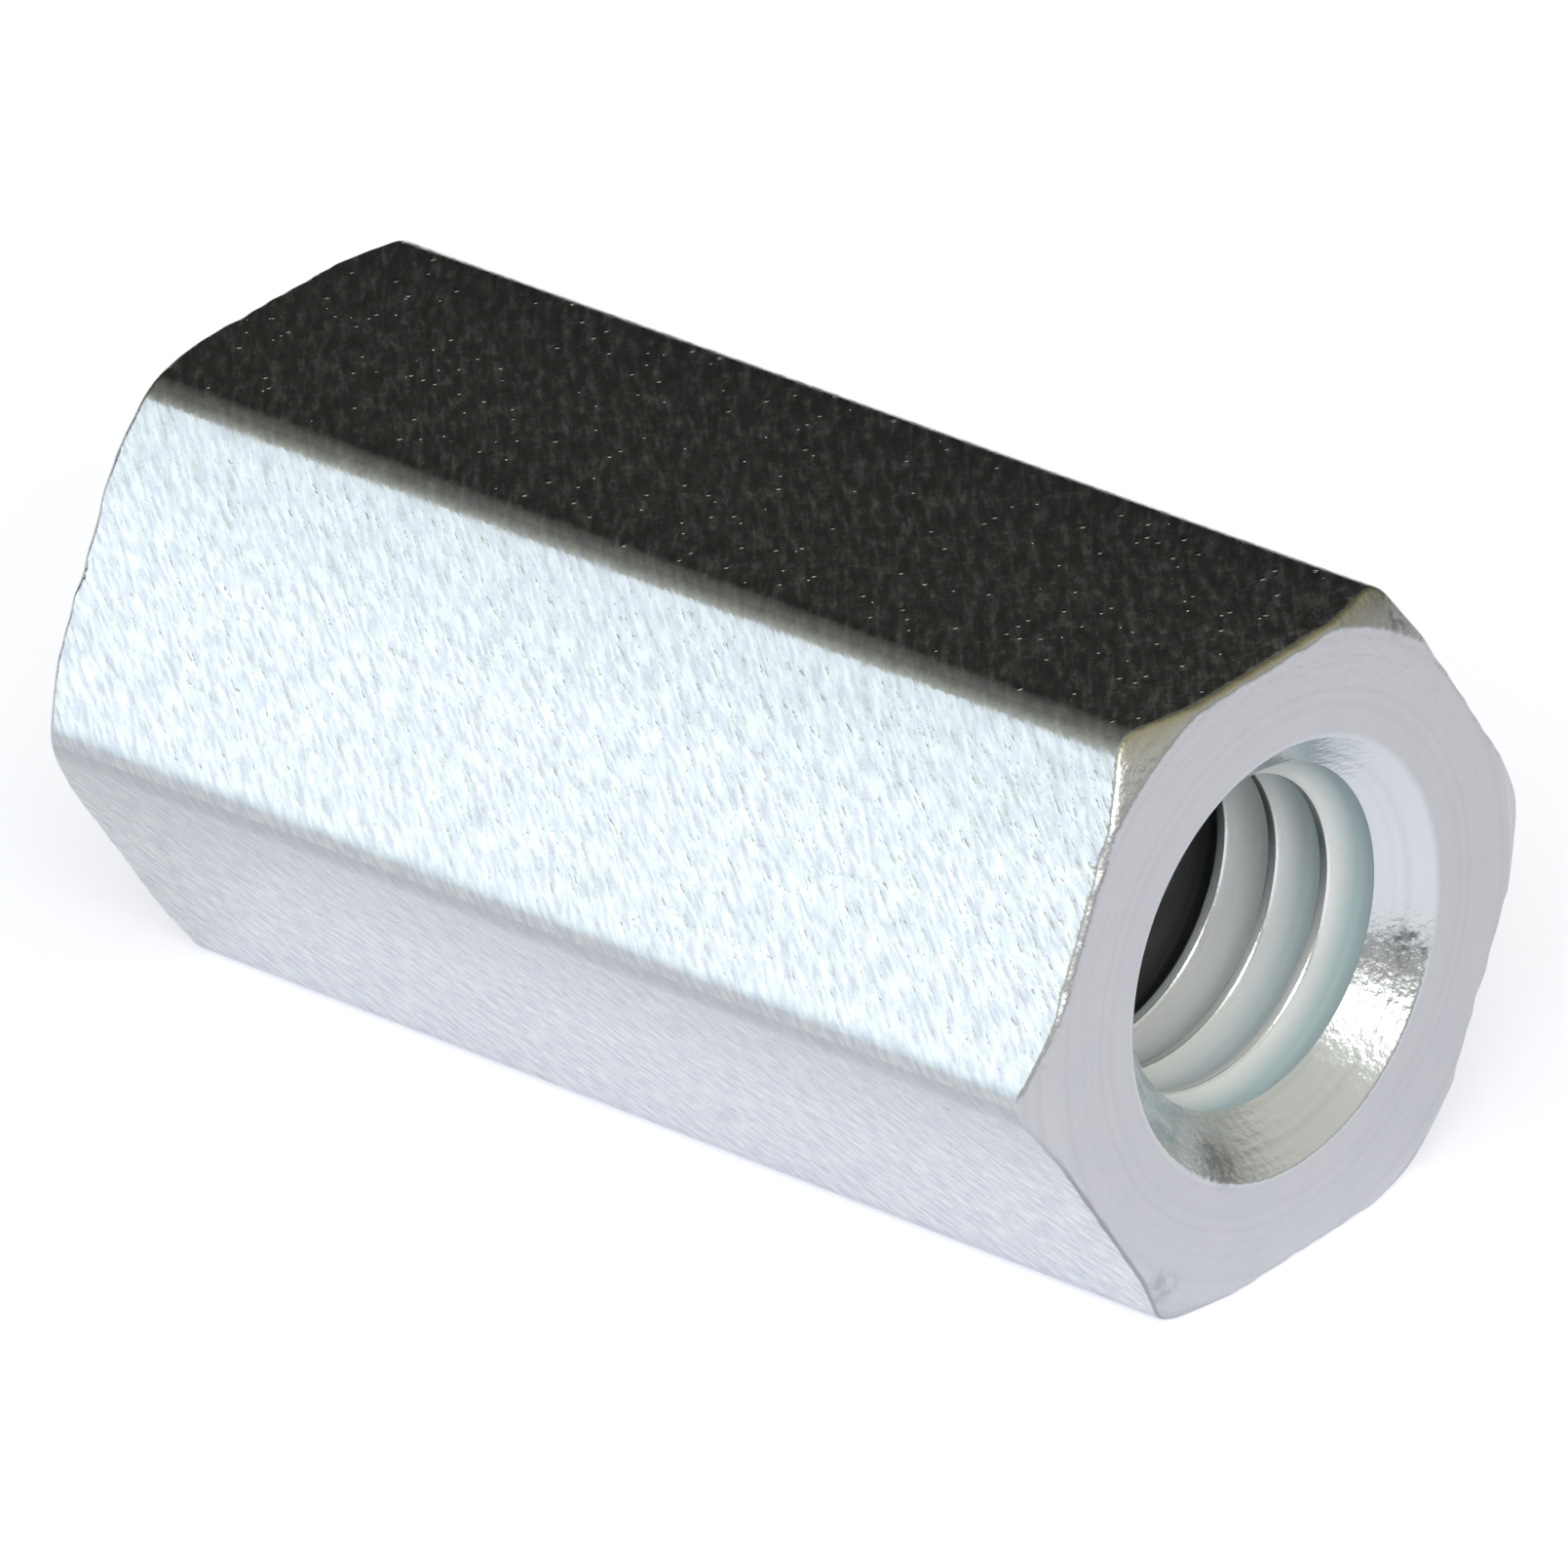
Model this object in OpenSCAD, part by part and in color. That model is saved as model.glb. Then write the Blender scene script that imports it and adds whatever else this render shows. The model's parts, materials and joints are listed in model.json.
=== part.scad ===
// Hex standoff: a female to female spacer made from drawn hexagonal bar.
// It lies on one flat. The bore runs along X and +Z is up.
// The origin is on the bore axis at mid-length. All sizes are in millimetres.

/* [Body] */
// Size of the hexagon across its flats
across_flats = 9.9; // [8.5:0.1:14]
// Length from one end face to the other
body_length = 20; // [10:1:40]
// Radius along the six long edges of the drawn bar
edge_radius = 0.6; // [0.2:0.1:1]

/* [End chamfers] */
// Diameter at which the turned chamfer of the corners starts on each end face
end_face_d = 10.15; // [8.2:0.05:10.8]
// Slope of the chamfer, measured from the end face
chamfer_angle = 30; // [15:5:40]

/* [Threaded bore] */
// Nominal diameter of the thread
thread_d = 6; // [4.5:0.5:6.5]
// Pitch of the thread
thread_pitch = 1; // [0.75:0.05:1.25]
// Diameter of the countersink where it meets the end face
countersink_d = 6.85; // [5.9:0.05:7.6]
// Included angle of the countersink
countersink_angle = 90; // [60:5:120]

/* [Hidden] */
$fn = 96;

// Overshoot of a cutting solid past the face that it cuts
overshoot = 1;
// Excess of each corner arc, so that it crosses its flats instead of grazing them
tangent_lap = 0.0001;
// Number of flats on the bar, and half the angle that one of them spans
flats = 6;
half_flat_angle = 180 / flats;
// Distance of each end face from the origin
half_length = body_length / 2;
// Distance from the axis to the corners of the hexagon before they are rounded
sharp_corner_r = across_flats / 2 / cos(half_flat_angle);
// Distance from the axis to the centres of the arcs that round the corners
arc_centre_r = sharp_corner_r - edge_radius / cos(half_flat_angle);
// Diameter of the hole drilled for the tap, which is left at the thread's crests
crest_d = thread_d - thread_pitch;

// What a rounded corner loses: the tip beyond the arc that joins its two flats.
// The chord of that arc is its inner side. It is drawn for the corner on +X.
module corner_tip() {
    chord_x = arc_centre_r + edge_radius * cos(half_flat_angle);
    difference() {
        translate([chord_x, -edge_radius])
            square([edge_radius, 2 * edge_radius]);
        translate([arc_centre_r, 0])
            circle(r = edge_radius + tangent_lap);
    }
}

// Section of the bar, with one flat at the bottom and one at the top
module bar_section() {
    difference() {
        circle(r = sharp_corner_r, $fn = flats);
        for (corner = [0 : flats - 1])
            rotate(2 * half_flat_angle * corner) corner_tip();
    }
}

// The bar cut to length, lying along X
module hex_bar() {
    rotate([90, 0, 90])
        linear_extrude(height = body_length, center = true) bar_section();
}

// What the lathe leaves: a round form, with a sloped chamfer at both ends,
// that is wider than the bar between the chamfers
module turned_envelope() {
    end_face_r = end_face_d / 2;
    outer_r = sharp_corner_r + overshoot;
    slope_end = half_length - (outer_r - end_face_r) * tan(chamfer_angle);
    rotate([0, 90, 0])
        rotate_extrude()
            polygon([
                [0, -half_length],
                [end_face_r, -half_length],
                [outer_r, -slope_end],
                [outer_r, slope_end],
                [end_face_r, half_length],
                [0, half_length]
            ]);
}

// The hole drilled for the tap, from end to end
module through_hole() {
    rotate([0, 90, 0])
        cylinder(d = crest_d, h = body_length + 2 * overshoot, center = true);
}

// The cone of the countersink at the +X end
module countersink() {
    wide_r = countersink_d / 2 + overshoot * tan(countersink_angle / 2);
    cone_height = wide_r / tan(countersink_angle / 2);
    translate([half_length + overshoot, 0, 0])
        rotate([0, -90, 0])
            cylinder(r1 = wide_r, r2 = 0, h = cone_height);
}

// The whole standoff, which is one solid piece
module hex_standoff() {
    color("lightgray")
        difference() {
            intersection() {
                hex_bar();
                turned_envelope();
            }
            through_hole();
            countersink();
            mirror([1, 0, 0]) countersink();
        }
}

hex_standoff();
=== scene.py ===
import json
import math

import bmesh
import bpy
from bpy.props import FloatProperty, FloatVectorProperty, PointerProperty, StringProperty
from mathutils import Matrix, Quaternion, Vector, noise


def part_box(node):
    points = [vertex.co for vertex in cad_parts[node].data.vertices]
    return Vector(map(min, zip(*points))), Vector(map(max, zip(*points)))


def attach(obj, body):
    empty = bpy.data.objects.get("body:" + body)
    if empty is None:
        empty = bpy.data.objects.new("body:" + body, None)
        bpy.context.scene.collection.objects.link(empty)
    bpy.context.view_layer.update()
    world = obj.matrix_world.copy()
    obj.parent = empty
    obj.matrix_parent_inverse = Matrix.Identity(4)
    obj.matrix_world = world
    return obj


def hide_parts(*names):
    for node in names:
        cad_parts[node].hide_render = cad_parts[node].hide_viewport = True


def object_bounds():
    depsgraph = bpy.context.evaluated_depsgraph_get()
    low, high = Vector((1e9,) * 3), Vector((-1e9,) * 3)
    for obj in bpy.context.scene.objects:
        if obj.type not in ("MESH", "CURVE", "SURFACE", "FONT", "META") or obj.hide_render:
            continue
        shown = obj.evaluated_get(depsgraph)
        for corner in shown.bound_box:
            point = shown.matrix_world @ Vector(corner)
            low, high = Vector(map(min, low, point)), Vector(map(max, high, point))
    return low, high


bl_info = {
    "name": "Hex standoff",
    "version": (1, 0, 0),
    "blender": (4, 5, 0),
    "location": "3D View > Sidebar > Standoff",
    "description": "A tapped hexagonal spacer in bright zinc plate, and a table to show it on",
    "category": "Add Mesh",
}

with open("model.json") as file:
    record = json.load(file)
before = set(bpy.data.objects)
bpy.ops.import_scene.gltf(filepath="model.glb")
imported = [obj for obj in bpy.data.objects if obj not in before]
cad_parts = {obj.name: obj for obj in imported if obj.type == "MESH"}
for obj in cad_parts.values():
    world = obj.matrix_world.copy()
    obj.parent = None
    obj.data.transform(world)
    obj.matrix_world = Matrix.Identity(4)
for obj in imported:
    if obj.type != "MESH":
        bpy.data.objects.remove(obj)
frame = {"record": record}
CAD_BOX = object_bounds()
NODE = "hex_standoff"

# Metres in one millimetre. The mesh is worked out in millimetres.
MM = 0.001
FLATS = 6
HALF_FLAT = math.pi / FLATS
# Slope of the thread's flanks, measured from the radius
FLANK_ANGLE = math.radians(30)
# Faces that meet at more than this keep a sharp edge between them
SHARP_ANGLE = math.radians(32)
# The mesh's material slots, in their order
DRAWN, TURNED, TAPPED = range(3)
# Sockets of a Mix node that blends colours: its share, the two colours and the result
SHARE, FROM, TO, BLEND = 0, 6, 7, 2

# What the frame says of the bar and its bore
box_low, box_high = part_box(NODE)
BAR_LENGTH = box_high.x - box_low.x
ACROSS_FLATS = box_high.z - box_low.z
ACROSS_CORNERS = box_high.y - box_low.y
BORE = next(m for m in frame["record"]["mounts"] if m["name"] == "thread_front")
CREST_RADIUS = BORE["dims"]["r_mm"] * MM
# A countersink of 90 degrees is as deep as it is wider than the bore on each side
COUNTERSINK_RADIUS = CREST_RADIUS + (BAR_LENGTH - BORE["dims"]["length_mm"] * MM) / 2
# Rounding a corner takes this share of its radius off the distance to the axis
CORNER_LOSS = 1 / math.cos(HALF_FLAT) - 1
CORNER_RADIUS = (ACROSS_FLATS / math.cos(HALF_FLAT) - ACROSS_CORNERS) / 2 / CORNER_LOSS


def linear_colour(hex_colour):
    """The linear RGBA of an sRGB colour written as #RRGGBB."""
    channels = [int(hex_colour[i:i + 2], 16) / 255 for i in (1, 3, 5)]
    lit = [c / 12.92 if c <= 0.04045 else ((c + 0.055) / 1.055) ** 2.4 for c in channels]
    return (*lit, 1.0)


def add_node(tree, kind, inputs=None, **settings):
    """Adds a node of that kind. Settings are its properties, and inputs its sockets' values or links."""
    made = tree.nodes.new(kind)
    for name, value in settings.items():
        setattr(made, name, value)
    for socket, value in (inputs or {}).items():
        if isinstance(value, bpy.types.NodeSocket):
            tree.links.new(value, made.inputs[socket])
        else:
            made.inputs[socket].default_value = value
    return made


def direction(azimuth, elevation):
    """The unit vector at that azimuth from +X towards +Y and that elevation, both in radians."""
    level = math.cos(elevation)
    return Vector((level * math.cos(azimuth), level * math.sin(azimuth), math.sin(elevation)))


class StandoffBarSettings(bpy.types.PropertyGroup):
    """The sizes of the bar and of its turned ends"""
    across_flats: FloatProperty(
        name="Across flats", description="Size of the hexagon across its flats",
        default=ACROSS_FLATS, unit="LENGTH", precision=5)
    length: FloatProperty(
        name="Length", description="From one end face to the other",
        default=BAR_LENGTH, unit="LENGTH", precision=5)
    corner_radius: FloatProperty(
        name="Corner radius", description="Radius along the six long edges of the drawn bar",
        default=CORNER_RADIUS, unit="LENGTH", precision=5)
    end_face_diameter: FloatProperty(
        name="End face", description="Diameter at which the turned chamfer of the corners starts",
        default=10.15 * MM, unit="LENGTH", precision=5)
    chamfer_angle: FloatProperty(
        name="Chamfer", description="Slope of the turned chamfer, measured from the end face",
        default=math.radians(30), subtype="ANGLE")
    edge_radius: FloatProperty(
        name="Edge radius", description="Mean radius that tumbling and plating leave round both ends",
        default=0.15 * MM, unit="LENGTH", precision=5)
    edge_wear: FloatProperty(
        name="Edge wear", description="Share by which that radius rises and falls along the edge",
        default=0.4, min=0.0, max=0.8, subtype="FACTOR")


class StandoffThreadSettings(bpy.types.PropertyGroup):
    """The sizes of the tapped bore and of its countersinks"""
    crest_radius: FloatProperty(
        name="Crest radius", description="Radius of the hole drilled for the tap",
        default=CREST_RADIUS, unit="LENGTH", precision=5)
    root_radius: FloatProperty(
        name="Root radius", description="Half the nominal diameter, at the bottom of the groove",
        default=3.0 * MM, unit="LENGTH", precision=5)
    pitch: FloatProperty(
        name="Pitch", description="Distance along the bore from one groove to the next",
        default=1.0 * MM, unit="LENGTH", precision=5)
    first_groove: FloatProperty(
        name="First groove", description="Depth of the groove below the front face, on the +Y side",
        default=0.93 * MM, unit="LENGTH", precision=5)
    countersink_radius: FloatProperty(
        name="Countersink radius", description="Radius of the countersink where it meets the end face",
        default=COUNTERSINK_RADIUS, unit="LENGTH", precision=5)
    lip_radius: FloatProperty(
        name="Lip radius", description="Radius where the countersink rolls over into the end face",
        default=0.12 * MM, unit="LENGTH", precision=5)
    foot_radius: FloatProperty(
        name="Foot radius", description="Radius where the countersink turns into the bore",
        default=0.1 * MM, unit="LENGTH", precision=5)
    root_width: FloatProperty(
        name="Root width", description="Width of the flat in the thread's roots, with room for the plate",
        default=0.27 * MM, unit="LENGTH", precision=5)
    crest_break: FloatProperty(
        name="Crest break", description="Radius on the edges of the thread's crests",
        default=0.08 * MM, unit="LENGTH", precision=5)
    root_break: FloatProperty(
        name="Root break", description="Radius on the edges of the thread's roots",
        default=0.12 * MM, unit="LENGTH", precision=5)


class StandoffFinishSettings(bpy.types.PropertyGroup):
    """The colours of the zinc plate and of the painted shade on it, and the sizes of their grain"""
    plate_colour: StringProperty(
        name="Zinc plate", description="Colour of bright zinc plate, as sRGB hex", default="#E0E3E3")
    plate_shade: StringProperty(
        name="Thin plate", description="Colour where the plate is thinner or duller, as sRGB hex",
        default="#CBCCD5")
    # Painted shade along one side of each drawn flat
    side_shade_colour: StringProperty(
        name="Dull side",
        description="Colour along the side of each flat that the die left duller, as sRGB hex",
        default="#B6B9BF")
    # Painted dark reflection on the thread's crests in the upper half of the bore
    crest_shade_colour: StringProperty(
        name="Thread crests", description="Colour of the rubbed plate on the thread's crests, as sRGB hex",
        default="#6E787A")
    flank_colour: StringProperty(
        name="Thread flanks", description="Colour of the plate on the thread's flanks, as sRGB hex",
        default="#F8FAFD")
    # The roots' blue-green film, darkened with painted shade
    root_film_and_shade_colour: StringProperty(
        name="Thread roots", description="Colour of the blue-green film in the thread's roots, as sRGB hex",
        default="#C2D3D8")
    # Painted shade, dark grey, deeper in the bore
    deep_shade_colour: StringProperty(
        name="Bare bore", description="Colour of the oily steel deeper down, which the plate doesn't reach",
        default="#45484A")
    # Depth in the bore where the painted shade begins
    deep_shade_depth: FloatProperty(
        name="Plate reach", description="Depth in the bore to which the plate reaches",
        default=3.55 * MM, unit="LENGTH", precision=5)
    turned_colour: StringProperty(
        name="Turned ends", description="Colour of the plate over turned steel, as sRGB hex",
        default="#D4D4D9")
    countersink_colour: StringProperty(
        name="Countersinks", description="Colour of the plate in the countersinks, as sRGB hex",
        default="#E0E4EA")
    # Painted shade along the rounded long edges
    long_edge_shade_colour: StringProperty(
        name="Long edges", description="Colour of the thin plate on the rounded long edges, as sRGB hex",
        default="#A9AEB4")
    # Painted shade, yellowish grey, on the upper outer edges of the ends
    upper_edge_shade_colour: StringProperty(
        name="Worn edges", description="Colour where the plate is rubbed thin round the ends, as sRGB hex",
        default="#988E5A")
    # Also the colour of the painted shade on the lower outer edges and beside the countersink's highlight
    bruise_and_shade_colour: StringProperty(
        name="Bruises", description="Colour where the plate is knocked off a corner, as sRGB hex",
        default="#585B5D")
    grain_width: FloatProperty(
        name="Grain width", description="Width of one streak in the grain of the drawn flats",
        default=0.095 * MM, unit="LENGTH", precision=6)
    grain_length: FloatProperty(
        name="Grain length", description="Length of one streak in the grain of the drawn flats",
        default=0.4 * MM, unit="LENGTH", precision=6)
    turning_feed: FloatProperty(
        name="Turning feed", description="Distance between the rings that the lathe tool leaves",
        default=0.06 * MM, unit="LENGTH", precision=6)
    speck_spacing: FloatProperty(
        name="Speck cells", description="Size of the cells of which a few hold a bright grain",
        default=0.25 * MM, unit="LENGTH", precision=6)


class StandoffStageSettings(bpy.types.PropertyGroup):
    """The colours of the table, the room and the light, and the camera"""
    floor_colour: StringProperty(
        name="Floor", description="Colour of the table, as sRGB hex", default="#EBECF3")
    shade_colour: StringProperty(
        name="Far floor", description="Colour of the table where it falls into shade, as sRGB hex",
        default="#A9A9A6")
    wall_colour: StringProperty(
        name="Walls", description="Colour of the room round the table, as sRGB hex", default="#CDCDBE")
    key_colour: StringProperty(
        name="Key light", description="Colour of the large soft light, as sRGB hex", default="#E3F4FF")
    azimuth: FloatProperty(
        name="Camera azimuth", description="Direction of the camera, from -Y towards +X",
        default=math.radians(43.844), subtype="ANGLE")
    elevation: FloatProperty(
        name="Camera elevation", description="Height of the camera above the horizon",
        default=math.radians(28.936), subtype="ANGLE")
    roll: FloatProperty(
        name="Camera roll", description="Turn of the camera about its own line of sight",
        default=math.radians(-4.465), subtype="ANGLE")
    distance: FloatProperty(
        name="Camera distance", description="From the aim point to the camera",
        default=311.57 * MM, unit="LENGTH")
    aim: FloatVectorProperty(
        name="Camera aim", description="Point at the middle of the picture",
        default=(0.1228 * MM, -0.0165 * MM, -0.1753 * MM),
        subtype="TRANSLATION", unit="LENGTH", precision=6)
    lens: FloatProperty(
        name="Focal length", description="Focal length on a sensor 36 mm wide, in millimetres",
        default=479.09)


def rounded_corner(before, corner, after, radius, steps):
    """The points of an arc of that radius that rounds one corner of an outline in a plane."""
    to_before = (before - corner).normalized()
    to_after = (after - corner).normalized()
    half_angle = to_before.angle(to_after) / 2
    centre = corner + (to_before + to_after).normalized() * radius / math.sin(half_angle)
    tangent = radius / math.tan(half_angle)
    start = corner + to_before * tangent - centre
    sweep = start.angle_signed(corner + to_after * tangent - centre)
    points = []
    for step in range(steps + 1):
        turn = Matrix.Rotation(-sweep * step / steps, 2)
        points.append(centre + turn @ start)
    return points


def bar_columns(bar, arc_steps=10, flat_steps=56):
    """The points of the bar's outline, each as its angle about the axis and its distance from it."""
    sharp_radius = bar["across_flats"] / 2 / math.cos(HALF_FLAT)
    arc_centre = sharp_radius - bar["corner_radius"] / math.cos(HALF_FLAT)
    outline = []
    for corner in range(FLATS):
        middle = 2 * HALF_FLAT * corner
        for step in range(arc_steps + 1):
            turn = middle - HALF_FLAT + 2 * HALF_FLAT * step / arc_steps
            outline.append(Vector((
                arc_centre * math.cos(middle) + bar["corner_radius"] * math.cos(turn),
                arc_centre * math.sin(middle) + bar["corner_radius"] * math.sin(turn))))
        leaving = outline[-1]
        next_middle = middle + 2 * HALF_FLAT
        arriving = Vector((
            arc_centre * math.cos(next_middle) + bar["corner_radius"] * math.cos(middle + HALF_FLAT),
            arc_centre * math.sin(next_middle) + bar["corner_radius"] * math.sin(middle + HALF_FLAT)))
        for step in range(1, flat_steps):
            outline.append(leaving.lerp(arriving, step / flat_steps))
    return [(math.atan2(point.y, point.x), point.length) for point in outline]


def end_profile(bar, thread, pilot_radius, outer_radius, edge_radius,
                face_steps=3, flat_steps=6, side_steps=5):
    """One end of the bar in a plane through its axis, from the pilot hole to near the bar's middle.

    Points hold the distance along the axis and from it. The outer edge is the path of a ball that
    rolls from the end face over the chamfer and on to the flat. Where the flat is nearer the axis
    than the chamfer is, the ball rolls straight on to it.
    """
    half_length = bar["length"] / 2
    slope = bar["chamfer_angle"]
    lip = Vector((half_length, thread["countersink_radius"]))
    # The foot of the countersink lies a hair inside the bore, so that the tap trims it
    hair, run_in = 0.004, 0.15
    foot_height = thread["crest_radius"] - hair
    foot = Vector((half_length - (lip.y - foot_height), foot_height))
    before_foot = Vector((foot.x - run_in, foot_height))
    pilot = Vector((before_foot.x - run_in, pilot_radius))
    ball_at_face = Vector((
        half_length - edge_radius, bar["end_face_diameter"] / 2 - edge_radius * math.tan(slope / 2)))
    ball_at_flat = Vector((ball_at_face.x, outer_radius - edge_radius))
    if ball_at_flat.y > ball_at_face.y:
        ball_at_flat.x -= (ball_at_flat.y - ball_at_face.y) * math.tan(slope)
    else:
        ball_at_face = ball_at_flat
    face_arc = [slope * step / face_steps for step in range(face_steps + 1)]
    flat_arc = [slope + (math.pi / 2 - slope) * step / flat_steps for step in range(1, flat_steps + 1)]
    rim = Vector((half_length, outer_radius))
    profile = [pilot, before_foot]
    profile += rounded_corner(before_foot, foot, lip, thread["foot_radius"], steps=4)
    profile += rounded_corner(foot, lip, rim, thread["lip_radius"], steps=5)
    for centre, arc in ((ball_at_face, face_arc), (ball_at_flat, flat_arc)):
        profile += [centre + edge_radius * Vector((math.cos(turn), math.sin(turn))) for turn in arc]
    leaving = profile[-1]
    for step in range(1, side_steps):
        profile.append(leaving.lerp(Vector((0, outer_radius)), step / side_steps))
    return profile


def worn_radius(bar, angle, end, wave=0.35, gap=10.0):
    """The radius of the edge at that angle about the axis, at end 1 or 2.

    It rises and falls over a third of a millimetre. The gap keeps the two ends' noise apart.
    """
    place = Vector((math.cos(angle), math.sin(angle), 0)) * bar["across_flats"] / 2 / wave
    place.z = gap * end
    return bar["edge_radius"] * (1 + bar["edge_wear"] * noise.noise(place))


def mesh_from_grid(name, rings):
    """A closed mesh from rings of points, each joined to the next and the last to the first."""
    shape = bmesh.new()
    grid = [[shape.verts.new(point) for point in ring] for ring in rings]
    for here, there in zip(grid, grid[1:] + grid[:1]):
        for step in range(len(here)):
            following = (step + 1) % len(here)
            shape.faces.new((here[step], here[following], there[following], there[step]))
    bmesh.ops.recalc_face_normals(shape, faces=shape.faces)
    mesh = bpy.data.meshes.new(name)
    shape.to_mesh(mesh)
    shape.free()
    return mesh


def turned_blank(bar, thread, left_for_tap=0.2):
    """The bar as it is before the tap goes through: turned ends, countersinks and a pilot hole."""
    pilot_radius = thread["crest_radius"] - left_for_tap
    rings = []
    for angle, outer_radius in bar_columns(bar):
        front = end_profile(bar, thread, pilot_radius, outer_radius, worn_radius(bar, angle, 1))
        middle = [Vector((0, outer_radius))]
        back = end_profile(bar, thread, pilot_radius, outer_radius, worn_radius(bar, angle, 2))
        rear = [Vector((-point.x, point.y)) for point in reversed(back)]
        rings.append([
            (point.x, point.y * math.cos(angle), point.y * math.sin(angle))
            for point in front + middle + rear])
    return mesh_from_grid("turned_blank", rings)


def groove_profile(thread):
    """One pitch of the thread, from the middle of a crest to the middle of the next.

    Points hold the distance along the axis from the middle of the groove, and the distance from the
    axis.
    """
    pitch, crest, root = thread["pitch"], thread["crest_radius"], thread["root_radius"]
    root_half = thread["root_width"] / 2
    crest_edge = root_half + (root - crest) * math.tan(FLANK_ANGLE)
    corners = [
        Vector((-pitch / 2, crest)), Vector((-crest_edge, crest)), Vector((-root_half, root)),
        Vector((root_half, root)), Vector((crest_edge, crest)), Vector((pitch / 2, crest))]
    radii = (thread["crest_break"], thread["root_break"], thread["root_break"], thread["crest_break"])
    profile = [corners[0]]
    for before, corner, after, radius in zip(corners, corners[1:], corners[2:], radii):
        profile += rounded_corner(before, corner, after, radius, steps=4)
    profile.append(corners[-1])
    return profile


def tap(bar, thread, steps=120):
    """The solid that the tap sweeps: a right-handed screw that runs out past both ends of the bar."""
    overshoot = 1.5 * thread["pitch"]
    first_x = bar["length"] / 2 - thread["first_groove"]
    turns_back = math.ceil((first_x + bar["length"] / 2 + overshoot) / thread["pitch"])
    start_x = first_x - turns_back * thread["pitch"]
    turns = turns_back + math.ceil((thread["first_groove"] + overshoot) / thread["pitch"])
    profile = groove_profile(thread)
    shape = bmesh.new()

    def place(step, point):
        angle = 2 * math.pi * step / steps
        along = start_x + thread["pitch"] * step / steps + point.x
        return shape.verts.new((along, point.y * math.cos(angle), point.y * math.sin(angle)))

    rows = [[place(step, point) for point in profile[:-1]] for step in range(turns * steps)]
    # The far side of each row is the near side of the row one turn on
    last_side = [place(step, profile[-1]) for step in range((turns - 1) * steps, turns * steps)]
    near_side = [row[0] for row in rows] + last_side
    for step, row in enumerate(rows):
        row.append(near_side[step + steps])
    for here, there in zip(rows, rows[1:]):
        for near, far, far_there, near_there in zip(here, here[1:], there[1:], there):
            shape.faces.new((near, far, far_there, near_there))
    # Each end is closed by a fan of faces from a point on the axis
    for loop, along in (
            (near_side[:steps] + rows[0][::-1][:-1], start_x - thread["pitch"]),
            (near_side[-steps:] + rows[-1][-2::-1], start_x + (turns + 1) * thread["pitch"])):
        middle = shape.verts.new((along, 0, 0))
        for here, there in zip(loop, loop[1:] + loop[:1]):
            shape.faces.new((here, there, middle))
    bmesh.ops.recalc_face_normals(shape, faces=shape.faces)
    mesh = bpy.data.meshes.new("tap")
    shape.to_mesh(mesh)
    shape.free()
    return mesh


def cut(blank_mesh, tool_mesh):
    """The blank with the tool's solid taken away."""
    blank = bpy.data.objects.new("blank", blank_mesh)
    tool = bpy.data.objects.new("tool", tool_mesh)
    bpy.context.scene.collection.objects.link(blank)
    bpy.context.scene.collection.objects.link(tool)
    boolean = blank.modifiers.new("cut", "BOOLEAN")
    boolean.operation = "DIFFERENCE"
    boolean.solver = "MANIFOLD"
    boolean.object = tool
    evaluated = blank.evaluated_get(bpy.context.evaluated_depsgraph_get())
    result = bpy.data.meshes.new_from_object(evaluated)
    # The empty material slots that the cut leaves would shift the finishes
    result.materials.clear()
    for used in (blank, tool):
        mesh = used.data
        bpy.data.objects.remove(used)
        bpy.data.meshes.remove(mesh)
    return result


def in_millimetres(settings):
    """The sizes of a property group as plain numbers: lengths in millimetres, others as they are."""
    sizes = {}
    for name in settings.__annotations__:
        is_length = settings.bl_rna.properties[name].unit == "LENGTH"
        sizes[name] = getattr(settings, name) / (MM if is_length else 1)
    return sizes


class MESH_OT_hex_standoff(bpy.types.Operator):
    """Make the standoff: turned from drawn hexagonal bar, countersunk, tapped through and zinc plated"""
    bl_idname = "mesh.hex_standoff"
    bl_label = "Standoff"

    def execute(self, context):
        bar = in_millimetres(context.scene.standoff_bar)
        thread = in_millimetres(context.scene.standoff_thread)
        finish = context.scene.standoff_finish
        mesh = cut(turned_blank(bar, thread), tap(bar, thread))
        if not mesh.polygons:
            raise RuntimeError("the tap took the whole blank away")
        mesh.transform(Matrix.Scale(MM, 4))
        mesh.name = "standoff_body"
        body = bpy.data.objects.new("standoff_body", mesh)
        context.scene.collection.objects.link(body)
        for material in (drawn_zinc(finish), turned_zinc(finish), tapped_zinc(finish)):
            mesh.materials.append(material)
        assign_finishes(mesh, bar, thread)
        mesh.shade_smooth()
        mesh.set_sharp_from_angle(angle=SHARP_ANGLE)
        weighted = body.modifiers.new("flat faces", "WEIGHTED_NORMAL")
        weighted.keep_sharp = True
        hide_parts(NODE)
        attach(body, "root")
        return {"FINISHED"}


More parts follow.
